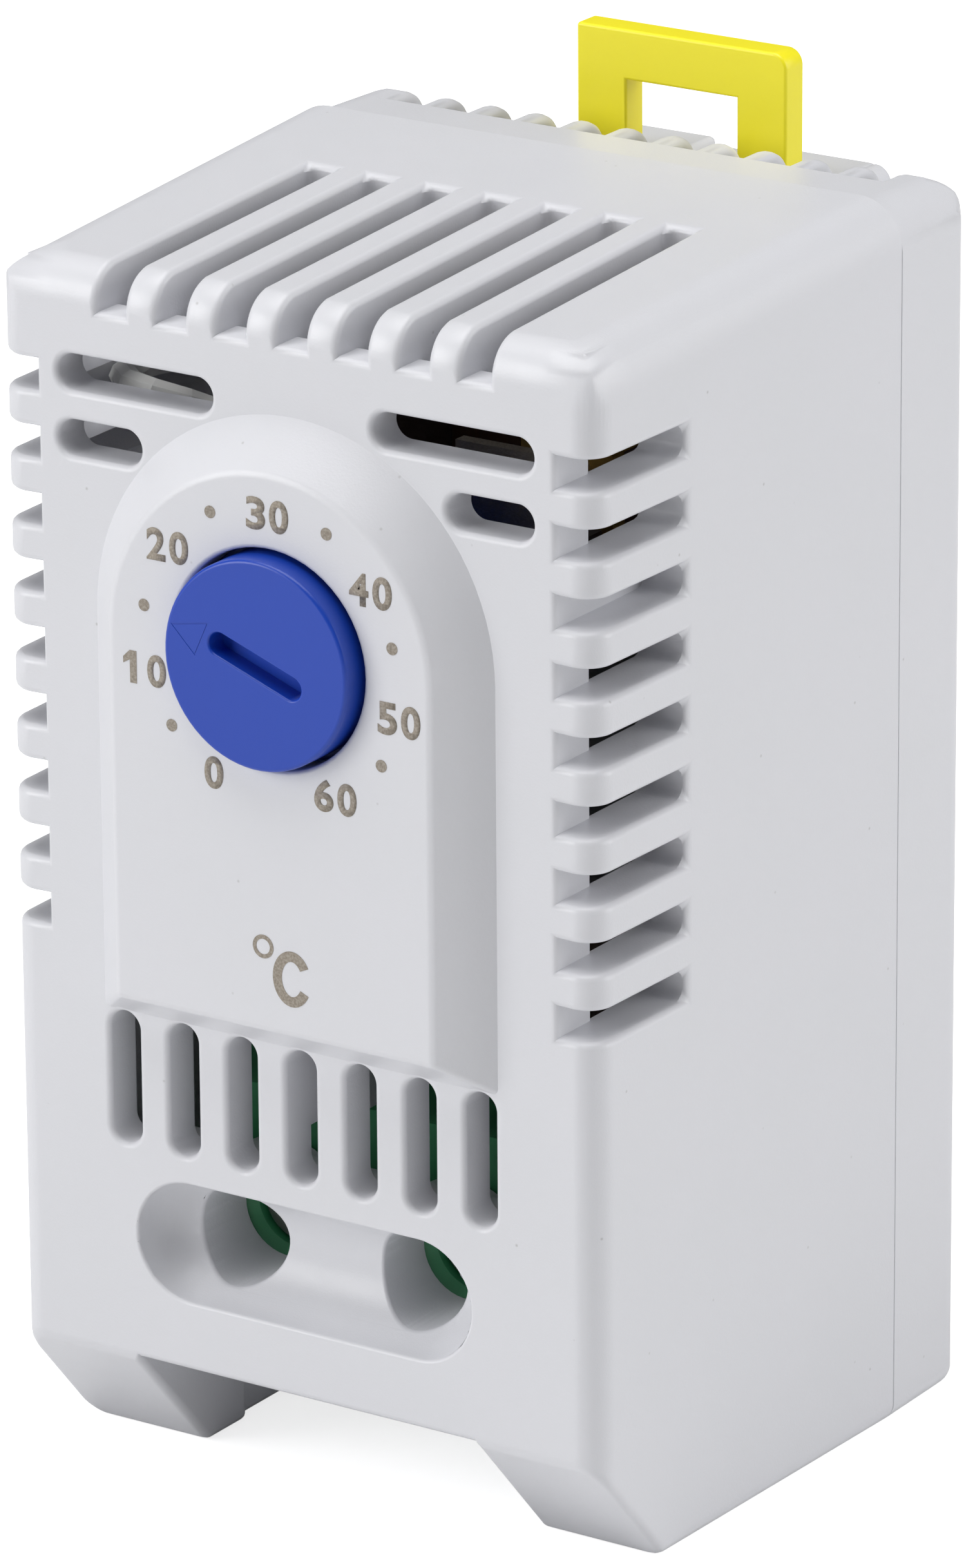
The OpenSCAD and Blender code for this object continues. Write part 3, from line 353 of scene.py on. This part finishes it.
def rolledMetal(name, light, dark, roughness, streakMm, along=(1, 1, 12)):
    # rolled or drawn sheet and wire: fine streaks along the rolling direction break up the shine
    material, tree, place = startMaterial(name)
    stretch = addNode(tree, "ShaderNodeMapping", None, {"Scale": along}, {"Vector": place})
    streaks = addNode(tree, "ShaderNodeTexNoise", None, {
        "Scale": 1 / (streakMm * mm), "Detail": 5.0, "Roughness": 0.65
    }, {"Vector": stretch.outputs["Vector"]})
    tint = addNode(tree, "ShaderNodeMix", {"data_type": "RGBA"}, {
        "A": hexColor(light), "B": hexColor(dark)
    }, {"Factor": streaks.outputs["Fac"]})
    sheen = addNode(tree, "ShaderNodeMapRange", None, {
        "To Min": roughness - metalSet["sheenSpread"], "To Max": roughness + metalSet["sheenSpread"]
    }, {"Value": streaks.outputs["Fac"]})
    bump = addNode(tree, "ShaderNodeBump", None, {
        "Strength": metalSet["reliefStrength"], "Distance": metalSet["relief"] * mm
    }, {"Height": streaks.outputs["Fac"]})
    finishMaterial(tree, {"Metallic": 1.0}, {
        "Base Color": tint.outputs["Result"], "Roughness": sheen.outputs["Result"],
        "Normal": bump.outputs["Normal"]
    })
    return material


def printedInk(name, light, dark):
    # pad-printed ink: a matt film whose fine specks let the plastic show through
    material, tree, place = startMaterial(name)
    specks = addNode(tree, "ShaderNodeTexNoise", None, {
        "Scale": 1 / (inkSet["speck"] * mm), "Detail": 3.0
    }, {"Vector": place})
    spread = addNode(tree, "ShaderNodeMapRange", None, {"From Min": 0.35, "From Max": 0.65}, {
        "Value": specks.outputs["Fac"]
    })
    tint = addNode(tree, "ShaderNodeMix", {"data_type": "RGBA"}, {
        "A": hexColor(dark), "B": hexColor(light)
    }, {"Factor": spread.outputs["Result"]})
    finishMaterial(tree, {"Roughness": inkSet["roughness"], "IOR": inkSet["ior"]}, {
        "Base Color": tint.outputs["Result"]
    })
    return material


resinFleck = {"apart": 2.4, "size": 0.1, "strength": 0.55, "color": "#8F8D88"}
absLightGrey = mouldedPlastic(
    "abs_light_grey_moulded", "#DADADF", "#D7D8DC", 0.36, 0.13, 0.009, 0.05, resinFleck)
absBlue = mouldedPlastic("abs_blue_moulded", "#1141B0", "#0F3DAA", 0.36, 0.20, 0.004, 0.05)
absYellow = mouldedPlastic("polyamide_yellow_moulded", "#FCF025", "#FAEC20", 0.38, 0.20, 0.004, 0.1)
polyamideGreen = mouldedPlastic("polyamide_green_moulded", "#45A06C", "#3C9262", 0.40, 0.18, 0.005)
sleeveWhite = mouldedPlastic("silicone_sleeve_white", "#EDEDEA", "#E4E4E0", 0.45, 0.25, 0.004, 0.1)
phenolicBrown = mouldedPlastic("phenolic_board_brown", "#3B2415", "#2C1A0F", 0.5, 0.3, 0.006)
ferriteDark = mouldedPlastic("ferrite_sintered", "#38383B", "#2C2C2F", 0.6, 0.12, 0.01)
steelSheet = rolledMetal("steel_sheet_zinc_plated", "#B9BABD", "#9C9DA0", 0.38, 0.5)
bimetalRolled = rolledMetal("bimetal_rolled", "#E2D9CA", "#6B6155", 0.30, 0.16)
brassPressed = rolledMetal("brass_pressed", "#D8B568", "#BF9A50", 0.34, 0.6)
springWire = rolledMetal("spring_wire_drawn", "#A9AAAD", "#8A8B8E", 0.32, 0.2, (1, 1, 1))
zincPlated = rolledMetal("screw_zinc_plated", "#C9C9C4", "#ABABA6", 0.33, 0.4, (1, 1, 1))
silverContact = rolledMetal("silver_contact_pressed", "#D9D7D2", "#BDBBB6", 0.3, 0.3, (1, 1, 1))
markingInk = printedInk("marking_ink_taupe", "#A39B8F", "#857B6F")
print("materials made")


# Case mouldings: the CAD shapes with the soft edges that the mouldings have. Radii and places in
# millimetres, places from the middle (x), the front face (y) and the feet (z)

caseSet = {
    "edgeRadius": 0.34,      # lips of the slots and the outer edges; the shares below are of this
    "fineShare": 0.45,       # at the scooped recess and its two holes
    "panelShare": 0.7,       # round the raised panel's face
    "toeShare": 1.2,         # all round the bevelled toes
    "seamShare": 0.1,        # parting line
    "slotEndShare": 1.6,     # inner corners at the slots' rear ends
    "rearShare": 1.4,        # ridges between the rear slots
    "slideRadius": 0.16,
    "toe": (5.7, 6.3),       # run and height
    "passage": 6.4,          # height of the cable passage
    "panelFrom": -0.6,       # what lies before this is the raised panel
    "scoop": {"half": 10.4, "low": 9.2, "high": 16.4, "depth": 3.2},
    "room": {"half": 14.35, "front": 2.2, "rear": 29.7, "low": 8.6, "high": 58.7},
    "legRoom": {"side": 10.9, "low": 1.7},
    "topCorner": {"side": 12.0, "depth": 3.6, "height": 55.8},
    "cornerCuts": {"side": 13.4, "depth": 3.0, "height": 57.2},
    "topSlotEnd": 17.4, "sideSlotEnd": 7.4, "partingLine": 25.1,
    "rearRidge": {"depth": 29.2, "height": 57.0, "end": 32},
}


# The round-ended slots of the front: their lips are flared by cutters, so that a lip may run
# into the foot of the raised panel as the mould's does

slotSet = {
    "lip": 0.3, "steps": 5, "points": 48, "clear": 0.04, "behind": 0.3, "before": 0.4,
    "low": {"count": 7, "pitch": 3.325, "width": 1.68, "low": 17.15, "length": 6.6, "out": 11.5},
    "flat": {"width": 1.74, "out": 13.05, "rows": ((11.15, 8.68), (8.0, 4.66)), "band": (50.3, 55.8)},
    "margin": 0.5, "wall": 2.6,
}


def lipCutter(x, z, width, length, upright):
    # a plug a little slimmer than the slot that flares to its lip; rings hold depth and radius
    lip, steps = slotSet["lip"], slotSet["steps"]
    rings = [(lip + slotSet["behind"], width / 2 - slotSet["clear"])]
    for k in range(steps + 1):
        turn = math.pi / 2 * k / steps
        rings.append((lip * (1 - math.sin(turn)), width / 2 + lip * (1 - math.cos(turn))))
    rings.append((-slotSet["before"], rings[-1][1]))
    bpy.ops.mesh.primitive_circle_add(
        vertices=slotSet["points"], radius=rings[0][1] * mm, fill_type="NGON",
        location=(0, rings[0][0] * mm, 0), rotation=(math.pi / 2, math.pi / slotSet["points"], 0)
    )
    cutter = bpy.context.object
    bakePlace(cutter)
    bpy.ops.object.mode_set(mode="EDIT")
    bpy.ops.mesh.select_all(action="SELECT")
    for (depth, radius), (nextDepth, nextRadius) in zip(rings, rings[1:]):
        bpy.ops.mesh.extrude_region_move(
            TRANSFORM_OT_translate={"value": (0, (nextDepth - depth) * mm, 0)})
        bpy.ops.transform.resize(value=(nextRadius / radius, 1, nextRadius / radius))
    bpy.ops.mesh.select_all(action="SELECT")
    bpy.ops.mesh.normals_make_consistent(inside=False)
    bpy.ops.object.mode_set(mode="OBJECT")
    half = (length - width) / 2 * mm
    for vertex in cutter.data.vertices:
        if upright:
            vertex.co.z += math.copysign(half, vertex.co.z)
        else:
            vertex.co.x += math.copysign(half, vertex.co.x)
        vertex.co += Vector((x * mm, frontFace, z * mm))
    return cutter


def slotLips():
    low, flat = slotSet["low"], slotSet["flat"]
    cutters = []
    for i in range(low["count"]):
        x = (i - (low["count"] - 1) / 2) * low["pitch"]
        cutters.append(lipCutter(x, low["low"] + low["length"] / 2, low["width"], low["length"], True))
    for rise, length in flat["rows"]:
        for side in (-1, 1):
            cutters.append(lipCutter(
                side * (flat["out"] - length / 2), dialCentre.z / mm + rise, flat["width"], length, False))
    return joinPieces(cutters, "slot_lip_cutters")


def hasOwnLip(x, y, z):  # edges that the cutters have flared already
    low, flat, margin = slotSet["low"], slotSet["flat"], slotSet["margin"]
    lowSlot = low["low"] - margin < z < low["low"] + low["length"] + margin and abs(x) < low["out"]
    flatSlot = flat["band"][0] < z < flat["band"][1] and abs(x) < flat["out"] + margin
    return y < slotSet["wall"] and (lowSlot or flatSlot and y >= caseSet["panelFrom"])


def isInsideCase(x, y, z):
    room, legRoom = caseSet["room"], caseSet["legRoom"]
    if abs(x) >= room["half"] or not room["front"] < y < room["rear"] or z >= room["high"]:
        return False
    return z > room["low"] or abs(x) > legRoom["side"] and z > legRoom["low"]


def isInScoop(x, y, z):
    scoop = caseSet["scoop"]
    return abs(x) < scoop["half"] and scoop["low"] < z < scoop["high"] and y < scoop["depth"]


def isAtTopCorner(x, y, z):
    corner = caseSet["topCorner"]
    return abs(x) > corner["side"] and y < corner["depth"] and z > corner["height"]


def cutTopCorners(piece):  # cuts beside the top front corners, so that smooth shading stays in them
    cuts = caseSet["cornerCuts"]
    for place, normal in (
        ((-cuts["side"], 0, 0), (1, 0, 0)), ((cuts["side"], 0, 0), (1, 0, 0)),
        ((0, cuts["depth"], 0), (0, 1, 0)), ((0, 0, cuts["height"]), (0, 0, 1))
    ):
        makeActive(piece)
        vertices = piece.data.vertices
        for face in piece.data.polygons:
            points = [local(vertices[i].co) for i in face.vertices]
            top = all(z > caseSet["topCorner"]["height"] for x, y, z in points)
            upright = all(abs(x) > cuts["side"] and y < cuts["depth"] for x, y, z in points)
            face.select = top or upright
        bpy.ops.object.mode_set(mode="EDIT")
        bpy.ops.mesh.select_mode(type="FACE")
        bpy.ops.mesh.bisect(
            plane_co=(place[0] * mm, place[1] * mm + frontFace, place[2] * mm), plane_no=normal)
        bpy.ops.object.mode_set(mode="OBJECT")


def housingShare(middle, along, convex):
    x, y, z = middle
    if isAtTopCorner(x, y, z):
        return 0
    if not convex:
        atTopEnd = abs(y - caseSet["topSlotEnd"]) < 0.1 and abs(along.z) > 0.9 and z > 50
        atSideEnd = abs(y - caseSet["sideSlotEnd"]) < 0.1 and abs(along.x) > 0.9 and abs(x) > 14
        return caseSet["slotEndShare"] if atTopEnd or atSideEnd else 0
    if abs(y - caseSet["partingLine"]) < 0.3:
        return caseSet["seamShare"]
    if isInScoop(x, y, z):
        return caseSet["fineShare"]
    if isInsideCase(x, y, z) or hasOwnLip(x, y, z):
        return 0
    if y < caseSet["panelFrom"]:
        return caseSet["panelShare"]
    run, height = caseSet["toe"]
    onToe = abs(y / run + z / height - 1) < 0.02
    return caseSet["toeShare"] if onToe else 1


def coverShare(middle, along, convex):
    x, y, z = middle
    if not convex or isInsideCase(x, y, z):
        return 0
    if abs(y - caseSet["partingLine"]) < 0.3:
        return caseSet["seamShare"]
    ridge = caseSet["rearRidge"]
    onRidge = ridge["depth"] < y < ridge["end"] and z > ridge["height"]
    return caseSet["rearShare"] if onRidge else 1


def slideShare(middle, along, convex):
    return 1 if convex else 0


def dressMoulding(nodeName, pieceName, radius, share, material, body, cutter=None):
    piece = mergedCopy(nodeName, pieceName)
    for vertex in piece.data.vertices:  # so that toes and cable passage round off as one edge
        x, y, z = local(vertex.co)
        if y < 0.01 and abs(z - caseSet["passage"]) < 0.02:
            vertex.co.z = caseSet["toe"][1] * mm
    if cutter:
        applyModifier(piece, "BOOLEAN", object=cutter, operation="DIFFERENCE", solver="EXACT")
        bpy.data.objects.remove(cutter)
        tidyFaces(piece)
        cutTopCorners(piece)
    roundEdges(piece, radius, share)
    piece.data.materials.append(material)
    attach(piece, body)
    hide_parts(nodeName)
    print(pieceName, len(piece.data.polygons), "faces")


dressMoulding(
    "front_housing", "housing_skin", caseSet["edgeRadius"], housingShare, absLightGrey, "case",
    slotLips())
dressMoulding(
    "rear_cover", "cover_skin", caseSet["edgeRadius"], coverShare, absLightGrey, "case")
dressMoulding(
    "din_slide", "release_slide_skin", caseSet["slideRadius"], slideShare, absYellow, "release_slide")


# Setting dial: soft rim and slot, and the fine outline of an arrowhead cut into its face. Places
# in millimetres from the dial's axis

dialSet = {
    "rimRadius": 0.2, "slotShare": 0.6, "rimFrom": 4.8,
    "arrow": ((-4.60, 1.28), (-2.50, 1.66), (-3.28, -0.05)), "lineWidth": 0.06, "lineDepth": 0.02,
    "arrowBox": ((-4.5, -2.55), (0.05, 1.7)),  # edges in here stay as cut
}


def arrowCutter():
    bpy.ops.mesh.primitive_circle_add(vertices=3, radius=1 * mm, fill_type="NGON", location=(0, 0, 0))
    cutter = bpy.context.object
    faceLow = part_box("dial_knob")[0].y
    for vertex, (x, z) in zip(cutter.data.vertices, dialSet["arrow"]):
        vertex.co = (dialCentre.x + x * mm, faceLow, dialCentre.z + z * mm)
    bpy.ops.object.mode_set(mode="EDIT")
    bpy.ops.mesh.select_all(action="SELECT")
    bpy.ops.mesh.inset(thickness=dialSet["lineWidth"] * mm)
    bpy.ops.mesh.delete(type="FACE")
    bpy.ops.object.mode_set(mode="OBJECT")
    applyModifier(cutter, "SOLIDIFY", thickness=2 * dialSet["lineDepth"] * mm, offset=0)
    return cutter


def dialShare(middle, along, convex):
    x, z = middle[0] - dialCentre.x / mm, middle[2] - dialCentre.z / mm
    onRim = math.hypot(x, z) > dialSet["rimFrom"]
    (left, right), (low, high) = dialSet["arrowBox"]
    if not convex or left < x < right and low < z < high and not onRim:
        return 0
    return 1 if onRim else dialSet["slotShare"]


def dressDial():
    knob = mergedCopy("dial_knob", "dial_knob_skin")
    cutter = arrowCutter()
    applyModifier(knob, "BOOLEAN", object=cutter, operation="DIFFERENCE", solver="EXACT")
    bpy.data.objects.remove(cutter)
    roundEdges(knob, dialSet["rimRadius"], dialShare, 4)
    knob.data.materials.append(absBlue)
    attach(knob, "dial")
    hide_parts("dial_knob")


dressDial()
print("mouldings dressed")


# Printed scale: plain numbers round the dial and the unit below it. Places in millimetres,
# the figures' and dots' from the dial's axis, the unit's from the middle and the feet

printSet = {
    "figures": (("0", -3.07, -5.95), ("10", -6.82, -1.63), ("20", -5.46, 4.52), ("30", 0.10, 6.93),
                ("40", 5.70, 4.28), ("50", 7.18, -1.60), ("60", 3.65, -5.93)),
    "digitWidth": 1.05, "digitHeight": 1.57, "digitStep": 0.635, "stroke": 0.38, "weight": 0.032,
    "oneWidth": 0.75, "oneStep": 0.86,
    "dots": ((-5.39, -4.08), (-6.83, 1.47), (-3.05, 6.57), (3.33, 6.59), (6.84, 1.77), (6.19, -3.93)),
    "dotSize": 0.6,
    "unit": {"place": (1.105, 28.22), "size": (2.12, 2.72), "stroke": 0.5, "open": 42},
    "degree": {"place": (-0.475, 29.53), "size": (1.15, 1.15), "stroke": 0.2, "open": 0},
    "lift": 0.01, "thick": 0.01, "dotPoints": 24, "ringPoints": 72,
}


def placePrint(piece, x, z):  # stands a flat piece up against the panel, x and z in millimetres
    piece.matrix_world = Matrix.Translation((x * mm, panelFace - printSet["lift"] * mm, z * mm)) \
        @ Matrix.Rotation(math.radians(90), 4, "X") @ Matrix.Scale(mm, 4) @ piece.matrix_world
    bakePlace(piece)
    return piece


def printedRing(place, size, stroke, open):  # an oval line, open to the right by that half angle
    bpy.ops.mesh.primitive_circle_add(
        vertices=printSet["ringPoints"], radius=0.5, fill_type="NGON", location=(0, 0, 0))
    ring = bpy.context.object
    ring.scale = (size[0], size[1], 1)
    bakePlace(ring)
    bpy.ops.object.mode_set(mode="EDIT")
    bpy.ops.mesh.select_all(action="SELECT")
    bpy.ops.mesh.inset(thickness=stroke)
    bpy.ops.mesh.delete(type="FACE")
    bpy.ops.object.mode_set(mode="OBJECT")
    for face in ring.data.polygons:
        turn = math.degrees(math.atan2(face.center.y, face.center.x))
        face.select = abs(turn) < open
    bpy.ops.object.mode_set(mode="EDIT")
    bpy.ops.mesh.delete(type="FACE")
    bpy.ops.object.mode_set(mode="OBJECT")
    return placePrint(ring, *place)


def printedDigit(digit, x, z):
    bpy.ops.object.text_add(location=(0, 0, 0))
    piece = bpy.context.object
    piece.data.body = digit
    piece.data.offset = printSet["weight"]
    makeActive(piece)
    bpy.ops.object.convert(target="MESH")
    piece = bpy.context.object
    xs = [v.co.x for v in piece.data.vertices]
    ys = [v.co.y for v in piece.data.vertices]
    piece.matrix_world = Matrix.Diagonal((
        printSet["digitWidth"] / (max(xs) - min(xs)), printSet["digitHeight"] / (max(ys) - min(ys)), 1, 1
    )) @ Matrix.Translation((-(max(xs) + min(xs)) / 2, -(max(ys) + min(ys)) / 2, 0))
    return placePrint(piece, x, z)


def printedOne(x, z):  # the scale's 1 has a sloping flag and no foot
    bpy.ops.mesh.primitive_circle_add(vertices=7, radius=1, fill_type="NGON", location=(0, 0, 0))
    piece = bpy.context.object
    right = printSet["oneWidth"] / 2
    stem = right - printSet["stroke"]
    top = printSet["digitHeight"] / 2
    outline = ((right, -top), (right, top), (stem, top), (-right, 0.55 * top), (-right, 0.15 * top),
               (stem, 0.42 * top), (stem, -top))
    for vertex, (u, v) in zip(piece.data.vertices, outline):
        vertex.co = (u, v, 0)
    return placePrint(piece, x, z)


def printScale():
    pieces = []
    middleX, middleZ = dialCentre.x / mm, dialCentre.z / mm
    step = printSet["digitStep"]
    for text, x, z in printSet["figures"]:
        x, z = middleX + x, middleZ + z
        if len(text) == 1:
            pieces.append(printedDigit(text, x, z))
        elif text[0] == "1":
            pieces.append(printedOne(x - printSet["oneStep"], z))
            pieces.append(printedDigit(text[1], x + step, z))
        else:
            pieces.append(printedDigit(text[0], x - step, z))
            pieces.append(printedDigit(text[1], x + step, z))
    for x, z in printSet["dots"]:
        bpy.ops.mesh.primitive_circle_add(
            vertices=printSet["dotPoints"], radius=printSet["dotSize"] / 2, fill_type="NGON",
            location=(0, 0, 0))
        pieces.append(placePrint(bpy.context.object, middleX + x, middleZ + z))
    pieces.append(printedRing(**printSet["unit"]))
    pieces.append(printedRing(**printSet["degree"]))
    scale = joinPieces(pieces, "dial_scale_print")
    applyModifier(scale, "SOLIDIFY", thickness=printSet["thick"] * mm, offset=0)
    scale.data.materials.clear()
    scale.data.materials.append(markingInk)
    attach(scale, "case")


printScale()
print("scale printed")


# Coil springs: smooth-shaded copies of the CAD wires in drawn spring wire, left where the CAD has them

springSet = {
    "slide_spring": {"name": "slide_spring_wire", "moving": "release_slide", "along": (0, 0, 1)},
    "return_spring": {"name": "return_spring_wire", "moving": "lever", "along": (0, 1, 0)},
}


def dressSpring(nodeName, name, moving, along):
    wire = mergedCopy(nodeName, name)
    makeActive(wire)
    bpy.ops.object.shade_smooth()
    wire.data.materials.append(springWire)
    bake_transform(wire)
    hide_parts(nodeName)


for springNode, values in springSet.items():
    dressSpring(springNode, **values)
print("springs made")


# Inner works keep their CAD shapes and get their finishes

finishes = {
    "slide_spring": springWire, "return_spring": springWire, "adjusting_spindle": brassPressed,
    "spindle_bush": brassPressed, "switch_frame": steelSheet, "pivot_pin": zincPlated,
    "carrier_lever": steelSheet, "bimetal_strip": bimetalRolled, "strip_rivets": silverContact,
    "armature_plate": steelSheet, "moving_contact": silverContact, "fixed_contact": silverContact,
    "contact_arm": brassPressed, "snap_magnet": ferriteDark, "circuit_board": phenolicBrown,
    "terminal_block": polyamideGreen, "terminal_screw_left": zincPlated,
    "terminal_screw_right": zincPlated, "clamp_cage_left": zincPlated, "clamp_cage_right": zincPlated,
    "busbar_left": brassPressed, "busbar_right": brassPressed, "lead_wire": sleeveWhite,
}
for nodeName, material in finishes.items():
    node = frame["nodes"][nodeName]
    if not node.material_slots:
        node.data.materials.append(material)
    for slot in node.material_slots:
        slot.material = material
print("inner works finished")
